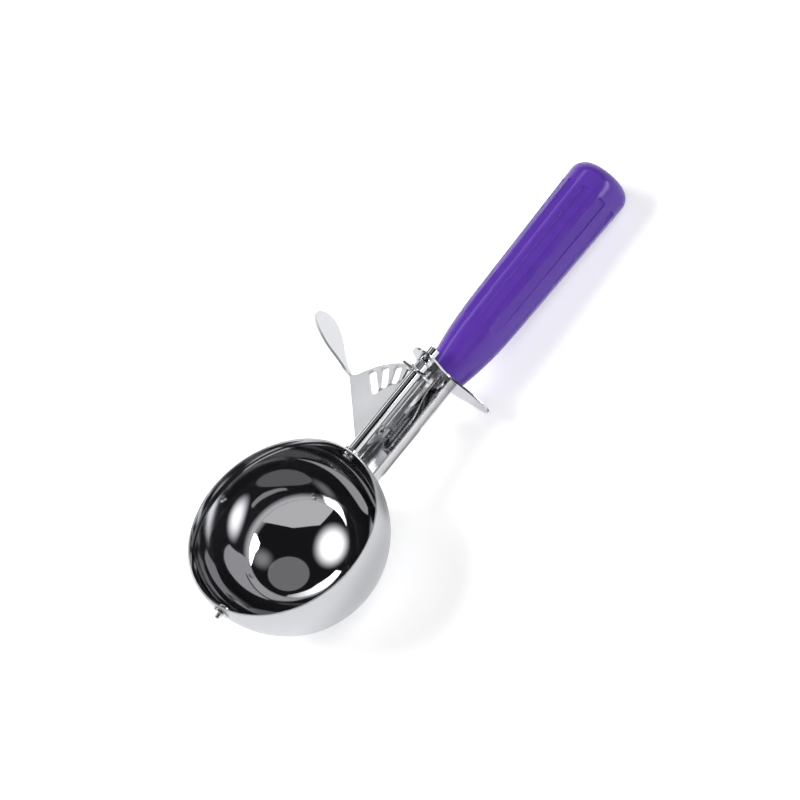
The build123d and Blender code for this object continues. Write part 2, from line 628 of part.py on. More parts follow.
handle_axis = Axis((GUARD_BACK, 0, HANDLE_Z), (1, 0, 0))
grip_plane = Plane(origin=(GUARD_BACK, 0, HANDLE_Z), x_dir=(1, 0, 0), z_dir=(0, -1, 0))
with BuildPart() as handle_grip:
    with BuildSketch(grip_plane) as grip_profile:
        with BuildLine():
            shoulder = Spline(
                (0, HANDLE_FRONT_R),
                (HANDLE_SHOULDER, HANDLE_SHOULDER_R),
                (HANDLE_WAIST, HANDLE_WAIST_R),
                tangents=[(1, HANDLE_FRONT_SLOPE), (1, HANDLE_TAPER)],
            )
            Polyline(
                shoulder @ 1,
                (HANDLE_LENGTH, HANDLE_END_R),
                (HANDLE_LENGTH, 0),
                (0, 0),
                shoulder @ 0,
            )
        make_face()
        fillet(grip_profile.vertices().group_by(Axis.Y)[-1], HANDLE_END_ROUND)
        fillet(
            grip_profile.vertices().group_by(Axis.X)[0].group_by(Axis.Y)[-1],
            HANDLE_FRONT_ROUND,
        )
    revolve(axis=handle_axis)
    for k in range(FLUTES):
        add(flute.part.rotate(handle_axis, FLUTE_TURN - 90 + k * 360 / FLUTES), mode=Mode.SUBTRACT)
    with BuildSketch(along_x(GUARD_BACK)):
        with Locations((0, TANG_TOP - TANG / 2)):
            Rectangle(TANG_WIDTH + 2 * TANG_GAP, TANG + 2 * TANG_GAP)
    extrude(amount=TANG_START + TANG_LENGTH + TANG_GAP - GUARD_BACK, mode=Mode.SUBTRACT)
finish(handle_grip, "handle_grip")
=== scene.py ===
# %% [markdown]
# # A thumb-press ice cream scoop
# The scoop's rigid pieces come from its CAD model, already at their places and real size in metres.
# This lesson gives each of them its edges and its finish, remakes the seven pieces that need a finer
# mesh than CAD gives, and lights the whole as a small studio would, because polished steel shows its
# surroundings.

from math import cos, pi, radians, sin

import bmesh
import bpy
from mathutils import Matrix, Vector


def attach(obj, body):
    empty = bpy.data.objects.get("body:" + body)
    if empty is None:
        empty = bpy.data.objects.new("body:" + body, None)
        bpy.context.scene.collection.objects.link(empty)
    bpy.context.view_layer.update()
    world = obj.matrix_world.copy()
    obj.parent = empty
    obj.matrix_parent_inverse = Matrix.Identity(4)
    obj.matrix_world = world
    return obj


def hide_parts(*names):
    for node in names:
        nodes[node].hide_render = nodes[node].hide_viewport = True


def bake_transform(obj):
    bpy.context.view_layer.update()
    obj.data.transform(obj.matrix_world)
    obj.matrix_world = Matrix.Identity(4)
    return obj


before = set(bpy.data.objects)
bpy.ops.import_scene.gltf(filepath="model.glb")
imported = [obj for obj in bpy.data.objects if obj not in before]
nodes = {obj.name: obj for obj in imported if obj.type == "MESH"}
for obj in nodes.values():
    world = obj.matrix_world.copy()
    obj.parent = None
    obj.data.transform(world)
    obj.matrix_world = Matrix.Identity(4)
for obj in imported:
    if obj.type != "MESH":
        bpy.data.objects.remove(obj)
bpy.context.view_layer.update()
print("pieces:", ", ".join(sorted(nodes)))

# %% [markdown]
# ## Helpers
# Colours are written as the hex values a paint shop would use, so one function turns them into the
# linear values that shaders work with. A second small function adds a node, sets it and links it.


# %% Colour and node helpers
def linear(hex_colour):
    """sRGB hex to linear RGBA."""
    parts = [int(hex_colour[i : i + 2], 16) / 255 for i in (1, 3, 5)]
    return [c / 12.92 if c <= 0.04045 else ((c + 0.055) / 1.055) ** 2.4 for c in parts] + [1.0]


def add_node(tree, kind, settings=None, links=None):
    """Adds a node, sets its attributes and input values, and links its inputs."""
    node = tree.nodes.new(kind)
    for name, value in (settings or {}).items():
        if isinstance(name, str) and hasattr(node, name):
            setattr(node, name, value)
        else:
            node.inputs[name].default_value = value
    for name, source in (links or {}).items():
        tree.links.new(source, node.inputs[name])
    return node


def new_material(name):
    """A material and its empty node tree."""
    material = bpy.data.materials.new(name)
    material.use_nodes = True
    material.node_tree.nodes.clear()
    return material, material.node_tree


mm = 0.001
print("helpers ready")

# %% [markdown]
# ## Camera
# The scoop lies diagonally in the frame and is seen from above the bowl's mouth, from the finger side,
# with a long lens from over two metres away, so its parallel edges stay nearly parallel. The camera is
# placed by its own three directions and by where the middle of the bowl lies in them.

# %% Camera
camera_data = bpy.data.cameras.new("camera")
camera_data.lens = 270
camera_data.sensor_width = 36
camera_data.clip_end = 20
camera = bpy.data.objects.new("camera", camera_data)
bpy.context.scene.collection.objects.link(camera)
right = Vector((0.61687, -0.68017, -0.39602))
down = Vector((-0.75754, -0.37658, -0.53322))
ahead = Vector((0.21355, 0.62893, -0.74756))
bowl_seen_at = Vector((-0.043446, 0.050614, 2.29725))
place = -(right * bowl_seen_at.x + down * bowl_seen_at.y + ahead * bowl_seen_at.z)
camera.matrix_world = Matrix(
    (
        (right.x, -down.x, -ahead.x, place.x),
        (right.y, -down.y, -ahead.y, place.y),
        (right.z, -down.z, -ahead.z, place.z),
        (0, 0, 0, 1),
    )
)
bpy.context.scene.camera = camera
print("camera at", [round(v, 3) for v in place])

# %% [markdown]
# ## Steel finishes
# Stainless steel is used for nearly every piece, and only its surface work differs: the lever is
# tumbled after pressing, which leaves it satin, the channel keeps the long marks of cold drawing, and
# the rod is chromed. Each finish is one Principled shader at full metallic, where fine marks change
# the tone, the roughness and the relief together, so that they look like one thing.


# %% Steel
def steel(name, tones, roughness, spread, grain_mm, bump, stretch=(1, 1, 1)):
    """Steel between two tones, its polish spread round roughness, with marks grain_mm apart."""
    haze_size = 9 * mm
    relief_depth = 0.02 * mm
    material, tree = new_material(name)
    on_piece = add_node(tree, "ShaderNodeTexCoord").outputs["Object"]
    scaled = add_node(
        tree,
        "ShaderNodeMapping",
        {"Scale": [s / (grain_mm * mm) for s in stretch]},
        {"Vector": on_piece},
    )
    marks = add_node(
        tree,
        "ShaderNodeTexNoise",
        {"Scale": 1.0, "Detail": 4.0, "Roughness": 0.6},
        {"Vector": scaled.outputs[0]},
    )
    haze = add_node(
        tree, "ShaderNodeTexNoise", {"Scale": 1 / haze_size, "Detail": 2.0}, {"Vector": on_piece}
    )
    both = add_node(
        tree, "ShaderNodeMath", {"operation": "ADD"}, {0: marks.outputs[0], 1: haze.outputs[0]}
    )
    rough = add_node(
        tree,
        "ShaderNodeMapRange",
        {"From Min": 0.6, "From Max": 1.4, "To Min": roughness - spread, "To Max": roughness + spread},
        {"Value": both.outputs[0]},
    )
    tone = add_node(
        tree,
        "ShaderNodeMix",
        {"data_type": "RGBA", 6: linear(tones[0]), 7: linear(tones[1])},
        {0: marks.outputs[0]},
    )
    relief = add_node(
        tree, "ShaderNodeBump", {"Strength": bump, "Distance": relief_depth}, {"Height": marks.outputs[0]}
    )
    shader = add_node(
        tree,
        "ShaderNodeBsdfPrincipled",
        {"Metallic": 1.0},
        {"Base Color": tone.outputs[2], "Roughness": rough.outputs[0], "Normal": relief.outputs[0]},
    )
    add_node(tree, "ShaderNodeOutputMaterial", links={"Surface": shader.outputs[0]})
    return material


# satin, with no direction: the stones of the tumbler hit it from all sides
tumbled = steel(
    "tumbled_stainless", ("#d0d1d4", "#e4e5e8"), roughness=0.32, spread=0.06, grain_mm=0.5, bump=0.2
)
# long marks along the channel, drawn fifty times as long as they are wide
drawn = steel(
    "cold_drawn_channel_stainless",
    ("#d2d3d6", "#f8f8fa"),
    roughness=0.2,
    spread=0.06,
    grain_mm=0.7,
    bump=0.1,
    stretch=(0.02, 1, 1),
)
# the rolled sheet as it comes, with its edges cut in a die
blanked = steel(
    "blanked_guard_stainless",
    ("#bdbec2", "#d8d9dd"),
    roughness=0.2,
    spread=0.06,
    grain_mm=0.9,
    bump=0.12,
)
# nearly a mirror, so the rod shows sharp light and dark lines
chromed = steel(
    "chromed_rod",
    ("#cfd0d3", "#dadbde"),
    roughness=0.05,
    spread=0.02,
    grain_mm=0.8,
    bump=0.03,
    stretch=(0.03, 1, 1),
)
# rolled hard and bright, with marks along the strip
spring_strip = steel(
    "spring_steel_strip",
    ("#c6c6c8", "#e2e2e4"),
    roughness=0.12,
    spread=0.04,
    grain_mm=0.5,
    bump=0.06,
    stretch=(0.05, 1, 1),
)
# small parts are finished loose in a barrel, which leaves them evenly dull
rivet_finish = steel(
    "barrel_finished_steel", ("#c4c4c6", "#dadadc"), roughness=0.2, spread=0.05, grain_mm=0.4, bump=0.15
)
# ground thin, then polished
blade_finish = steel(
    "ground_blade_stainless", ("#d0d1d3", "#e2e3e5"), roughness=0.1, spread=0.03, grain_mm=0.4, bump=0.06
)
print("steel finishes ready")

# %% [markdown]
# ## Bowl finish
# The bowl is spun and pressed from one disc. Its inside is buffed to a mirror, so that the ice cream
# lets go, and its outside is only brushed. One shader carries both: the distance from the bowl's
# centre tells the inner wall from the outer one, and sets how blurred the reflection is. Buffing
# leaves the mirror slightly wavy, and near the rim, where the wheel reaches least, slightly duller.

# %% Bowl walls
wall_middle = 39.6 * mm
brush_width, brush_length = 0.25 * mm, 2 * mm
buffed_patch = 14 * mm
bowl_finish, tree = new_material("buffed_and_brushed_bowl_stainless")
on_bowl = add_node(tree, "ShaderNodeTexCoord").outputs["Object"]
reach = add_node(tree, "ShaderNodeVectorMath", {"operation": "LENGTH"}, {0: on_bowl})
outer_side = add_node(
    tree, "ShaderNodeMath", {"operation": "GREATER_THAN", 1: wall_middle}, {0: reach.outputs["Value"]}
)
brushing = add_node(
    tree,
    "ShaderNodeMapping",
    {"Scale": [1 / brush_width, 1 / brush_width, 1 / brush_length]},
    {"Vector": on_bowl},
)
brushed = add_node(
    tree, "ShaderNodeTexNoise", {"Scale": 1.0, "Detail": 3.0}, {"Vector": brushing.outputs[0]}
)
buffing = add_node(
    tree, "ShaderNodeTexNoise", {"Scale": 1 / buffed_patch, "Detail": 1.0}, {"Vector": on_bowl}
)
print("walls told apart at", round(wall_middle / mm, 1), "mm from the middle")

# %% Bowl shader
waviness_depth = 0.25 * mm
clear_below, dull_above = -22 * mm, 2 * mm
inner_blur = add_node(
    tree, "ShaderNodeMapRange", {"To Min": 0.02, "To Max": 0.06}, {"Value": buffing.outputs[0]}
)
outer_blur = add_node(
    tree, "ShaderNodeMapRange", {"To Min": 0.28, "To Max": 0.42}, {"Value": brushed.outputs[0]}
)
blur = add_node(
    tree,
    "ShaderNodeMix",
    {"data_type": "FLOAT"},
    {0: outer_side.outputs[0], 2: inner_blur.outputs[0], 3: outer_blur.outputs[0]},
)
tone = add_node(
    tree,
    "ShaderNodeMix",
    {"data_type": "RGBA", 6: linear("#d0d0d3"), 7: linear("#c7c8cc")},
    {0: outer_side.outputs[0]},
)
waviness = add_node(
    tree, "ShaderNodeBump", {"Strength": 0.12, "Distance": waviness_depth}, {"Height": buffing.outputs[0]}
)
height = add_node(tree, "ShaderNodeSeparateXYZ", links={0: on_bowl})
mirror = add_node(
    tree,
    "ShaderNodeMapRange",
    {"From Min": clear_below, "From Max": dull_above, "To Min": 1.0, "To Max": 0.955},
    {"Value": height.outputs["Z"]},
)
shader = add_node(
    tree,
    "ShaderNodeBsdfPrincipled",
    links={
        "Base Color": tone.outputs[2],
        "Metallic": mirror.outputs[0],
        "Roughness": blur.outputs[0],
        "Normal": waviness.outputs[0],
    },
)
add_node(tree, "ShaderNodeOutputMaterial", links={"Surface": shader.outputs[0]})
print("bowl finish ready")

# %% [markdown]
# ## Handle plastic
# The handle is injection moulded in polypropylene, coloured right through. A polished mould gives it
# an even gloss with a faint ripple, where the plastic drew back as it cooled. The colour wanders
# a little between two violets, as a pigment does that was mixed in at the moulding machine, and the
# reflection is a touch weaker than the resin's own, because the skin of a moulding is finely matt.

# %% Violet polypropylene
pigment_patch = 6 * mm
ripple_length, ripple_depth = 1.2 * mm, 0.02 * mm
violet, tree = new_material("gloss_moulded_polypropylene")
on_handle = add_node(tree, "ShaderNodeTexCoord").outputs["Object"]
mottle = add_node(
    tree, "ShaderNodeTexNoise", {"Scale": 1 / pigment_patch, "Detail": 3.0}, {"Vector": on_handle}
)
tint = add_node(
    tree,
    "ShaderNodeMix",
    {"data_type": "RGBA", 6: linear("#5d36ad"), 7: linear("#683fba")},
    {0: mottle.outputs[0]},
)
ripple = add_node(
    tree, "ShaderNodeTexNoise", {"Scale": 1 / ripple_length, "Detail": 2.0}, {"Vector": on_handle}
)
relief = add_node(
    tree, "ShaderNodeBump", {"Strength": 0.15, "Distance": ripple_depth}, {"Height": ripple.outputs[0]}
)
shader = add_node(
    tree,
    "ShaderNodeBsdfPrincipled",
    {"Roughness": 0.17, "IOR": 1.49, "Specular IOR Level": 0.4},
    {"Base Color": tint.outputs[2], "Normal": relief.outputs[0]},
)
add_node(tree, "ShaderNodeOutputMaterial", links={"Surface": shader.outputs[0]})
print("plastic ready")

# %% [markdown]
# ## Modelling helpers
# Operators act on whatever is selected, so every piece starts by being the only one selected. At the
# end its place goes into its mesh, its faces are shaded smooth up to a set angle, and it is given to
# the body that it moves with.


# %% Select, modify and finish a piece
def select_only(piece):
    """Makes this piece the only selected one, and the active one."""
    bpy.ops.object.select_all(action="DESELECT")
    piece.select_set(True)
    bpy.context.view_layer.objects.active = piece


def apply_modifier(piece, kind, **settings):
    """Adds one modifier with its settings and applies it."""
    bpy.context.view_layer.objects.active = piece
    modifier = piece.modifiers.new(kind.lower(), kind)
    for name, value in settings.items():
        setattr(modifier, name, value)
    bpy.ops.object.modifier_apply(modifier=modifier.name)


def finish_piece(piece, material, body, node):
    """Gives a new piece its finish and its body, and hides the CAD node whose place it takes."""
    smooth_below = radians(40)
    piece.data.materials.append(material)
    select_only(piece)
    bpy.ops.object.transform_apply(location=True, rotation=True, scale=True)
    bpy.ops.object.shade_smooth_by_angle(angle=smooth_below)
    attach(piece, body)
    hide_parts(node)
    print(piece.name, len(piece.data.polygons), "faces", [round(v / mm, 2) for v in piece.dimensions])


print("modelling helpers ready")

# %% [markdown]
# ## The bowl
# A mirror shows every facet, so the bowl is remade as a dense shell: a sphere is cut off at the rim,
# given the thickness of its sheet, and its rim is rounded, as it is on the real one, where a sharp
# rim would cut a hand. The holes for the rod and for the blade's pin are bored last.

# %% Bowl shell
bowl_radius = 40 * mm
bowl_sheet = 0.8 * mm
rim_height = 4.25 * mm
bpy.ops.object.select_all(action="DESELECT")
bpy.ops.mesh.primitive_uv_sphere_add(segments=192, ring_count=96, radius=bowl_radius)
bowl = bpy.context.object
bowl.name = "bowl_shell"
bpy.ops.object.mode_set(mode="EDIT")
bpy.ops.mesh.select_all(action="SELECT")
bpy.ops.mesh.bisect(plane_co=(0, 0, rim_height), plane_no=(0, 0, 1), clear_outer=True)
bpy.ops.object.mode_set(mode="OBJECT")
apply_modifier(bowl, "SOLIDIFY", thickness=bowl_sheet, offset=-1)
print("shell:", len(bowl.data.polygons), "faces")

# %% Rounded rim
rim_round = 0.25 * mm
bpy.ops.object.mode_set(mode="EDIT")
bpy.ops.mesh.select_mode(type="EDGE")
bpy.ops.mesh.select_all(action="DESELECT")
mesh = bmesh.from_edit_mesh(bowl.data)
for edge in mesh.edges:
    lowest = min(corner.co.z for corner in edge.verts)
    around = abs(edge.verts[0].co.xy.length - edge.verts[1].co.xy.length) < bowl_sheet / 4
    edge.select_set(lowest > rim_height - bowl_sheet / 3 and around)
mesh.select_flush_mode()
bmesh.update_edit_mesh(bowl.data)
bpy.ops.mesh.bevel(offset=rim_round, segments=3)
bpy.ops.object.mode_set(mode="OBJECT")
print("rim rounded to", rim_round / mm, "mm")

# %% Holes for the rod and the pin
rod_bearing_hole = 3.32 * mm
pin_bearing_hole = 2.17 * mm
cutter_length = 10 * mm
for side, hole in ((1, rod_bearing_hole), (-1, pin_bearing_hole)):
    bpy.ops.mesh.primitive_cylinder_add(
        vertices=64,
        radius=hole,
        depth=cutter_length,
        location=(side * bowl_radius, 0, 0),
        rotation=(0, pi / 2, 0),
    )
    cutter = bpy.context.object
    apply_modifier(bowl, "BOOLEAN", operation="DIFFERENCE", object=cutter, solver="EXACT")
    bpy.data.objects.remove(cutter)
finish_piece(bowl, bowl_finish, "frame", "bowl")

# %% [markdown]
# ## Bearings
# The rod turns in two plain bearing rings, one in the bowl's wall and one in the guard, with a thin
# washer between the guard ring and the star wheel. On a lathe each is one pass outside, one bore and a
# chamfer, so here the section of the ring is drawn once, its corners are cut, and it is spun round.


# %% Bearing rings
def turned_ring(name, x_from, x_to, bore, outside, chamfer):
    """Ring about the rod's axis, spun from its section."""
    bpy.ops.object.select_all(action="DESELECT")
    bpy.ops.mesh.primitive_plane_add(size=1, rotation=(pi / 2, 0, 0))
    ring = bpy.context.object
    ring.name = name
    ring.scale = (x_to - x_from, outside - bore, 1)
    ring.location = ((x_from + x_to) / 2, 0, (bore + outside) / 2)
    bpy.ops.object.transform_apply(location=True, rotation=True, scale=True)
    bpy.ops.object.mode_set(mode="EDIT")
    bpy.ops.mesh.select_all(action="SELECT")
    bpy.ops.mesh.bevel(offset=chamfer, segments=3, affect="VERTICES")
    bpy.ops.mesh.delete(type="ONLY_FACE")
    bpy.ops.mesh.select_all(action="SELECT")
    bpy.ops.mesh.spin(steps=72, angle=2 * pi, center=(0, 0, 0), axis=(1, 0, 0))
    bpy.ops.mesh.select_all(action="SELECT")
    bpy.ops.mesh.remove_doubles(threshold=0.001 * mm)
    bpy.ops.mesh.normals_make_consistent(inside=False)
    bpy.ops.object.mode_set(mode="OBJECT")
    return ring


ring_bore = 2.4 * mm
washer_front, washer_back = 84.75, 85.15
for name, x_from, x_to, outside, chamfer, body, node in (
    ("bowl_bearing_ring", 39.0, 41.0, 3.3, 0.3, "frame", "shaft_bush_bowl"),
    ("guard_bearing_ring", 85.2, 88.4, 3.3, 0.3, "frame", "shaft_bush_guard"),
    ("star_wheel_washer", washer_front, washer_back, 3.25, 0.1, "scraper", "pinion_washer"),
):
    ring = turned_ring(name, x_from * mm, x_to * mm, ring_bore, outside * mm, chamfer * mm)
    finish_piece(ring, chromed, body, node)

# %% [markdown]
# ## Star wheel
# The star wheel is cut from a disc: six slim prongs stand out from it and drop into the lever's
# slots, and a hub behind it carries it on the rod. A twelve-sided disc gives a flat for the root of
# each prong, the prong is drawn out of that flat and drawn in at its tip, and the hub out of the back.

# %% Disc of the star wheel
disc_middle, disc_half = 80.9 * mm, 0.6 * mm
prong_root, prong_tip = 3.3 * mm, 6.9 * mm
prongs = 6
first_prong = radians(43.9)
half_side = pi / (2 * prongs)
bpy.ops.object.select_all(action="DESELECT")
bpy.ops.mesh.primitive_cylinder_add(vertices=2 * prongs, radius=prong_root, depth=2 * disc_half)
star = bpy.context.object
star.name = "star_wheel"
star.matrix_world = (
    Matrix.Translation((disc_middle, 0, 0))
    @ Matrix.Rotation(first_prong - half_side, 4, "X")
    @ Matrix.Rotation(pi / 2, 4, "Y")
)
bpy.ops.object.transform_apply(location=True, rotation=True, scale=True)
print("disc:", len(star.data.polygons), "faces")


# %% Prongs and hub
def select_faces(test):
    """Selects the faces of the piece in edit mode whose middle and normal pass the test."""
    bpy.ops.mesh.select_all(action="DESELECT")
    mesh = bmesh.from_edit_mesh(bpy.context.edit_object.data)
    for face in mesh.faces:
        if test(face.calc_center_median(), face.normal):
            face.select_set(True)
    bmesh.update_edit_mesh(bpy.context.edit_object.data)


tip_share = (0.7, 0.5, 0.5)
hub_inset = 0.35 * mm
hub_length = washer_front * mm - disc_middle - disc_half
bpy.ops.object.mode_set(mode="EDIT")
bpy.ops.mesh.select_mode(type="FACE")
for prong in range(prongs):
    angle = first_prong + prong * 2 * pi / prongs
    out = Vector((0, cos(angle), sin(angle)))
    select_faces(lambda middle, normal: normal.dot(out) > 0.99)
    bpy.ops.mesh.extrude_region_move(TRANSFORM_OT_translate={"value": out * (prong_tip - prong_root)})
    tip = Vector((disc_middle, 0, 0)) + out * prong_tip
    bpy.ops.transform.resize(value=tip_share, center_override=tip)
select_faces(lambda middle, normal: normal.x > 0.99 and middle.yz.length < prong_root / 4)
bpy.ops.mesh.inset(thickness=hub_inset)
bpy.ops.mesh.extrude_region_move(TRANSFORM_OT_translate={"value": (hub_length, 0, 0)})
bpy.ops.object.mode_set(mode="OBJECT")
apply_modifier(star, "BEVEL", width=0.28 * mm, segments=3, limit_method="ANGLE", angle_limit=radians(25))
finish_piece(star, chromed, "scraper", "pinion")

# %% [markdown]
# ## Blade button
# The rod ends inside the bowl in a low round head that keeps the blade on it: a flat button with a
# rounded edge, as left by a riveting tool, so that no ice cream lodges behind it.

# %% Blade button
button_radius, button_height = 2.1 * mm, 1.0 * mm
button_middle = 37.5 * mm
bpy.ops.object.select_all(action="DESELECT")
bpy.ops.mesh.primitive_cylinder_add(
    vertices=64,
    radius=button_radius,
    depth=button_height,
    location=(button_middle, 0, 0),
    rotation=(0, pi / 2, 0),
)
button = bpy.context.object
button.name = "blade_button"
apply_modifier(button, "BEVEL", width=0.4 * mm, segments=5, limit_method="ANGLE", angle_limit=radians(60))
finish_piece(button, rivet_finish, "scraper", "blade_retainer")

# %% [markdown]
# ## The return spring
# The spring is a hairpin of flat strip. Its ends are riveted in the channel, and the lever's lug
# presses on its straight leg near the pivot. A spring has to bend, and a mesh bends only where it has
# edges across it, so a copy of the CAD mesh is merged, its edges are broken, and it is cut across at
# short steps.

# %% Hairpin leaf
pivot_x = 55 * mm
first_cut, cut_step, cuts = pivot_x - 7 * mm, 0.6 * mm, 27
weld_distance = 0.002 * mm
leaf = bpy.data.objects.new("hairpin_leaf", nodes["return_spring"].data.copy())
leaf.matrix_world = nodes["return_spring"].matrix_world
bpy.context.scene.collection.objects.link(leaf)
select_only(leaf)
bpy.ops.object.mode_set(mode="EDIT")
bpy.ops.mesh.select_all(action="SELECT")
bpy.ops.mesh.remove_doubles(threshold=weld_distance)
bpy.ops.mesh.faces_shade_smooth()
bpy.ops.object.mode_set(mode="OBJECT")
apply_modifier(leaf, "BEVEL", width=0.08 * mm, segments=2, limit_method="ANGLE", angle_limit=radians(35))
bpy.ops.object.mode_set(mode="EDIT")
for step in range(cuts):
    bpy.ops.mesh.select_all(action="SELECT")
    bpy.ops.mesh.bisect(plane_co=(first_cut + step * cut_step, 0, 0), plane_no=(1, 0, 0))
bpy.ops.object.mode_set(mode="OBJECT")
apply_modifier(leaf, "WEIGHTED_NORMAL", keep_sharp=True)
leaf.data.materials.clear()
leaf.data.materials.append(spring_strip)
print(leaf.name, len(leaf.data.polygons), "faces")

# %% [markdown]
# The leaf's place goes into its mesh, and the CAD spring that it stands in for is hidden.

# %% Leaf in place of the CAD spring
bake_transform(leaf)
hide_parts("return_spring")

# %% [markdown]
# ## Broken edges
# A pressed sheet never keeps a knife edge: tumbling breaks it, and that narrow band is what catches
# the light. The pieces are welded first, because their CAD meshes are loose triangles, and a bevel
# of about a tenth of a millimetre follows, wider on the moulded handle.

# %% Break the edges
broken_edges = {
    "thumb_lever": 0.16,
    "shank_channel": 0.16,
    "finger_guard": 0.14,
    "scraper_blade": 0.12,
    "spring_anchor": 0.2,
    "handle_tang": 0.15,
    "tip_bush": 0.1,
    "handle_grip": 0.3,
}
for name, width in broken_edges.items():
    piece = nodes[name]
    for polygon in piece.data.polygons:
        polygon.use_smooth = True
    piece.modifiers.new("weld", "WELD").merge_threshold = weld_distance
    edges = piece.modifiers.new("broken_edges", "BEVEL")
    edges.width = width * mm
    edges.segments = 2
    edges.limit_method = "ANGLE"
    edges.angle_limit = radians(35)
    piece.modifiers.new("flat_faces", "WEIGHTED_NORMAL").keep_sharp = True
print("edges broken on", len(broken_edges), "pieces")

# %% [markdown]
# ## Dressing the CAD pieces
# Each CAD piece gets the finish of the work that made it: pressed and tumbled, turned and chromed,
# or loose in the barrel. The nodes that were remade above are dressed too, so that none is left bare.

# %% Dress the CAD pieces
finish_of = {
    "bowl": bowl_finish,
    "shaft_bush_bowl": chromed,
    "tip_bush": chromed,
    "shaft_bush_guard": chromed,
    "shank_channel": drawn,
    "pivot_rivet": rivet_finish,
    "pivot_spacer": rivet_finish,
    "pivot_washer": rivet_finish,
    "return_spring": spring_strip,
    "spring_anchor": rivet_finish,
    "spring_rivet": rivet_finish,
    "finger_guard": blanked,
    "handle_tang": rivet_finish,
    "tang_rivets": rivet_finish,
    "handle_grip": violet,
    "thumb_lever": tumbled,
    "drive_shaft": chromed,
    "pinion": tumbled,
    "pinion_washer": rivet_finish,
    "scraper_blade": blade_finish,
    "tip_pin": chromed,
    "blade_retainer": chromed,
}
for name, material in finish_of.items():
    node = nodes[name]
    node.data.materials.clear()
    node.data.materials.append(material)
print("dressed", len(finish_of), "pieces")

# %% [markdown]
# ## Floor
# The scoop lies on its bowl and on the end of its handle, so the floor is tilted a little against it.
# It is painted nearly white and glows faintly, only for the rays that show it, so that it reads as
# white while it still takes the scoop's shadow and throws no extra light on the plastic. Mirrors see
# less of that glow than the camera does, so that the steel keeps its own tone against the floor.

# %% Floor
tilt = radians(3.99)
floor_normal = Vector((-sin(tilt), 0, cos(tilt)))
bpy.ops.object.select_all(action="DESELECT")
bpy.ops.mesh.primitive_plane_add(size=12)
floor = bpy.context.object
floor.name = "floor"
slope = floor_normal.to_track_quat("Z", "X").to_matrix().to_4x4()
floor.matrix_world = Matrix.Translation(-floor_normal * bowl_radius) @ slope
print("floor tilted", round(tilt / pi * 180, 2), "degrees")

# %% Floor paint
glow_seen, glow_mirrored = 0.46, 0.34
floor_paint, tree = new_material("pale_floor_paint")
ray = add_node(tree, "ShaderNodeLightPath")
seen = add_node(
    tree,
    "ShaderNodeMath",
    {"operation": "MAXIMUM"},
    {0: ray.outputs["Is Camera Ray"], 1: ray.outputs["Is Transmission Ray"]},
)
seen_glow = add_node(tree, "ShaderNodeMath", {"operation": "MULTIPLY", 1: glow_seen}, {0: seen.outputs[0]})
mirrored_glow = add_node(
    tree, "ShaderNodeMath", {"operation": "MULTIPLY", 1: glow_mirrored}, {0: ray.outputs["Is Glossy Ray"]}
)
glow = add_node(
    tree, "ShaderNodeMath", {"operation": "MAXIMUM"}, {0: seen_glow.outputs[0], 1: mirrored_glow.outputs[0]}
)
paint = add_node(
    tree,
    "ShaderNodeBsdfPrincipled",
    {"Base Color": linear("#f4f4f4"), "Roughness": 0.9, "Emission Color": (1, 1, 1, 1)},
    {"Emission Strength": glow.outputs[0]},
)
add_node(tree, "ShaderNodeOutputMaterial", links={"Surface": paint.outputs[0]})
floor.data.materials.append(floor_paint)
print("floor painted")

# %% [markdown]
# ## Backdrop
# A studio is pale low down, where its paper sweeps up from the floor, and dark overhead. The steel
# mirrors both, so the world fades from white to nearly black with height. The camera itself sees only
# white there, and the scoop gets less light from it than the mirrors show.

# %% World
pale_up_to, dark_from = 0.26, 0.44
world = bpy.data.worlds.new("studio")
bpy.context.scene.world = world
world.use_nodes = True
tree = world.node_tree
tree.nodes.clear()
direction = add_node(tree, "ShaderNodeTexCoord").outputs["Generated"]
height = add_node(tree, "ShaderNodeSeparateXYZ", links={0: direction})
ramp = add_node(tree, "ShaderNodeValToRGB", links={0: height.outputs["Z"]})
low, high = ramp.color_ramp.elements
low.position, low.color = pale_up_to, (1, 1, 1, 1)
high.position, high.color = dark_from, (0.012, 0.012, 0.014, 1)
ray = add_node(tree, "ShaderNodeLightPath")
seen = add_node(
    tree,
    "ShaderNodeMath",
    {"operation": "MAXIMUM"},
    {0: ray.outputs["Is Camera Ray"], 1: ray.outputs["Is Glossy Ray"]},
)
shown = add_node(
    tree,
    "ShaderNodeMath",
    {"operation": "MAXIMUM"},
    {0: seen.outputs[0], 1: ray.outputs["Is Transmission Ray"]},
)
level = add_node(tree, "ShaderNodeMapRange", {"To Min": 0.4, "To Max": 1.0}, {"Value": shown.outputs[0]})
backdrop = add_node(
    tree,
    "ShaderNodeMix",
    {"data_type": "RGBA", 7: (1, 1, 1, 1)},
    {0: ray.outputs["Is Camera Ray"], 6: ramp.outputs[0]},
)
sky = add_node(
    tree, "ShaderNodeBackground", links={"Color": backdrop.outputs[2], "Strength": level.outputs[0]}
)
add_node(tree, "ShaderNodeOutputWorld", links={"Surface": sky.outputs[0]})
print("backdrop ready")

# %% [markdown]
# ## Soft boxes and cards
# A mirror-bright bowl is lit by what it can see. Round and straight soft boxes give the bright
# shapes, grey cards give the calm ones, and all of them stay outside the picture: only mirrors see
# them, and they light nothing else. Their places are given as compass direction and height in
# degrees, seen from the middle of the bowl.


# %% Card helpers
def toward(azimuth, elevation):
    """Unit vector to a compass direction and height, in degrees."""
    a, e = radians(azimuth), radians(elevation)
    return Vector((cos(a) * cos(e), sin(a) * cos(e), sin(e)))


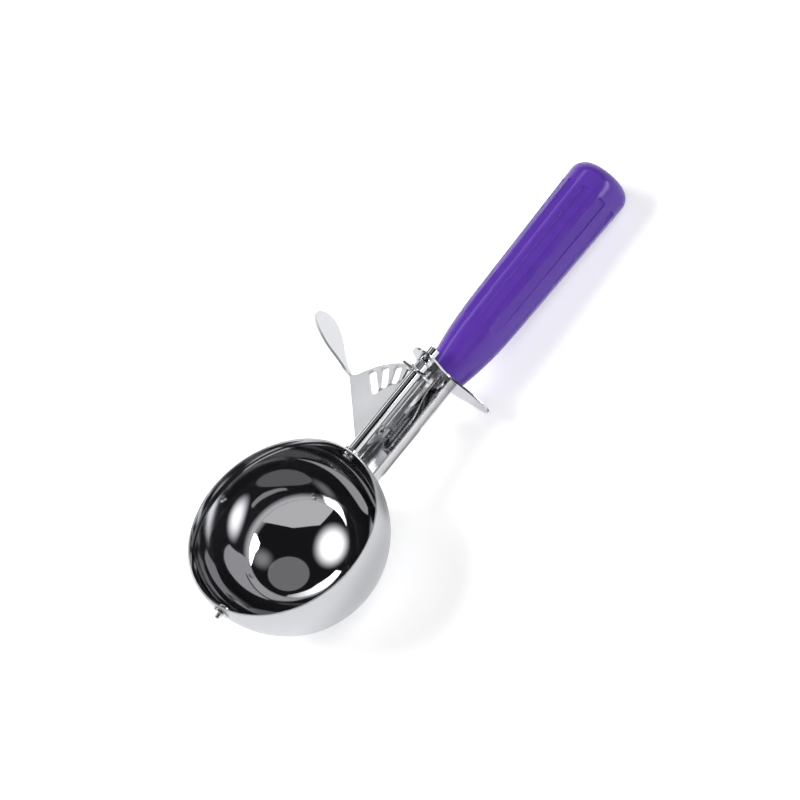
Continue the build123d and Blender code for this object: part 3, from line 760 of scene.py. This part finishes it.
def facing(away, distance):
    """Place at this distance along a direction, turned to look back at the bowl."""
    return Matrix.Translation(away * distance) @ away.to_track_quat("Z", "Y").to_matrix().to_4x4()


def only_mirrored(piece, finish):
    """Gives a glowing piece its finish and lets only mirrors see it."""
    piece.data.materials.append(finish)
    piece.visible_camera = False
    piece.visible_diffuse = False
    piece.visible_shadow = False
    print(piece.name, "set up")


def card_at(name, points, radiance):
    """Evenly glowing card through these points. Returns its node tree and its glow."""
    mesh = bpy.data.meshes.new(name)
    mesh.from_pydata(points, [], [range(len(points))])
    piece = bpy.data.objects.new(name, mesh)
    bpy.context.scene.collection.objects.link(piece)
    finish, tree = new_material(name)
    glow = add_node(tree, "ShaderNodeEmission", {"Color": (1, 1, 1, 1), "Strength": radiance})
    add_node(tree, "ShaderNodeOutputMaterial", links={"Surface": glow.outputs[0]})
    only_mirrored(piece, finish)
    return tree, glow


def card(name, corners, distance, radiance):
    """Card whose corners lie at these directions from the bowl."""
    return card_at(name, [toward(*corner) * distance for corner in corners], radiance)


print("card helpers ready")

# %% [markdown]
# A soft box is brightest in the middle, where its lamp stands behind the cloth, and falls off to its
# edge. That soft edge is what makes a highlight look like light and not like a white sticker.


# %% Round soft boxes
def round_soft_box(name, azimuth, elevation, distance, radius, radiance, core):
    """Round soft box, full within the core and fading to nothing at its edge."""
    bpy.ops.object.select_all(action="DESELECT")
    bpy.ops.mesh.primitive_circle_add(vertices=64, radius=radius, fill_type="NGON")
    piece = bpy.context.object
    piece.name = name
    piece.matrix_world = facing(toward(azimuth, elevation), distance)
    finish, tree = new_material(name)
    spot = add_node(tree, "ShaderNodeTexCoord").outputs["Object"]
    reach = add_node(tree, "ShaderNodeVectorMath", {"operation": "LENGTH"}, {0: spot})
    fade = add_node(
        tree,
        "ShaderNodeMapRange",
        {
            "interpolation_type": "SMOOTHSTEP",
            "From Min": core * radius,
            "From Max": radius,
            "To Min": radiance,
            "To Max": 0.0,
        },
        {"Value": reach.outputs["Value"]},
    )
    glow = add_node(tree, "ShaderNodeEmission", {"Color": (1, 1, 1, 1)}, {"Strength": fade.outputs[0]})
    clear = add_node(tree, "ShaderNodeBsdfTransparent")
    both = add_node(tree, "ShaderNodeAddShader", links={0: glow.outputs[0], 1: clear.outputs[0]})
    add_node(tree, "ShaderNodeOutputMaterial", links={"Surface": both.outputs[0]})
    only_mirrored(piece, finish)


round_soft_box("thumb_side_soft_box", 146, 60, distance=2.0, radius=0.95, radiance=2.8, core=0.1)
round_soft_box("overhead_grey_disc", -11, 63.5, distance=2.0, radius=0.82, radiance=0.21, core=0.93)
round_soft_box("handle_side_glow", -48, 39, distance=2.0, radius=0.55, radiance=0.3, core=0.1)

# %% [markdown]
# The long strip light fades along its length. The bowl mirrors it once near the bottom, and a second
# time in the far wall, where so bright a band would hide the bowl's shape. So a ray that has already
# been mirrored twice finds the strip only as bright as the grey cards.

# %% Strip light
card_distance = 2.2
strip_corners = [(97, 45), (60, 45), (48, 43), (20, 37), (20, 43), (48, 54), (60, 57), (97, 53)]
strip_bright, strip_dim, strip_mirrored_twice = 3.4, 0.3, 0.5
bright_end_x, dim_end_x = -0.19, 1.65
tree, glow = card("far_strip_light", strip_corners, card_distance, strip_bright)
spot = add_node(tree, "ShaderNodeTexCoord").outputs["Object"]
along = add_node(tree, "ShaderNodeSeparateXYZ", links={0: spot})
fade = add_node(
    tree,
    "ShaderNodeMapRange",
    {"From Min": bright_end_x, "From Max": dim_end_x, "To Min": strip_bright, "To Max": strip_dim},
    {"Value": along.outputs["X"]},
)
ray = add_node(tree, "ShaderNodeLightPath")
strength = add_node(
    tree,
    "ShaderNodeMapRange",
    {"From Min": 1.0, "From Max": 2.0, "To Max": strip_mirrored_twice},
    {"Value": ray.outputs["Glossy Depth"], "To Min": fade.outputs[0]},
)
tree.links.new(strength.outputs[0], glow.inputs["Strength"])
print("strip light fades from", strip_bright, "to", strip_dim)

# %% [markdown]
# A window on the handle's side gives the bowl its sharp crescent, and a large grey card on the finger
# side its calm middle. The last card lies on the floor under the shank and stands for the shade there,
# which keeps the channel's walls from mirroring only white.

# %% Window, grey card and shade
window_corners = [(-75, 16), (-36, 16), (-36, 27), (-52, 30), (-60, 32.5), (-68, 32), (-75, 24)]
card("handle_side_window", window_corners, card_distance, radiance=5.5)
grey_corners = [(176, -3), (175, 30), (-169, 50), (-120, 49), (-92, 22), (-92, -3), (-135, -3)]
card("finger_side_grey_card", grey_corners, card_distance, radiance=0.66)

shade_rise = 0.4 * mm
shade_corners = [(47, -28), (97, -28), (97, -14), (70, -14), (70, 18), (47, 18)]
shade_points = []
for x, y in shade_corners:
    on_floor = (x * mm * sin(tilt) - bowl_radius) / cos(tilt)
    shade_points.append((x * mm, y * mm, on_floor + shade_rise))
card_at("shade_under_shank", shade_points, radiance=0.32)

# %% [markdown]
# ## Lamps
# Paint, plastic and satin steel need light that falls on them, not shapes to mirror. Three large
# square lamps give it, and no mirror sees them, so that they add no shapes to the bowl.


# %% Lamps that only fill
def fill_lamp(name, azimuth, elevation, distance, size, radiance):
    """Square area lamp for the painted and moulded surfaces, unseen by mirrors."""
    data = bpy.data.lights.new(name, "AREA")
    data.shape = "SQUARE"
    data.size = size
    data.energy = radiance * pi * size * size
    lamp = bpy.data.objects.new(name, data)
    bpy.context.scene.collection.objects.link(lamp)
    lamp.matrix_world = facing(toward(azimuth, elevation), distance)
    lamp.visible_glossy = False
    print(name, round(data.energy, 1), "W")


fill_lamp("fill_thumb_side", 118, 52, distance=2.0, size=1.1, radiance=7.8)
fill_lamp("fill_finger_side", -108, 50, distance=2.0, size=1.2, radiance=3.1)
fill_lamp("fill_handle_side", -40, 45, distance=2.2, size=1.0, radiance=2.5)

# %% View transform
bpy.context.scene.view_settings.view_transform = "Standard"
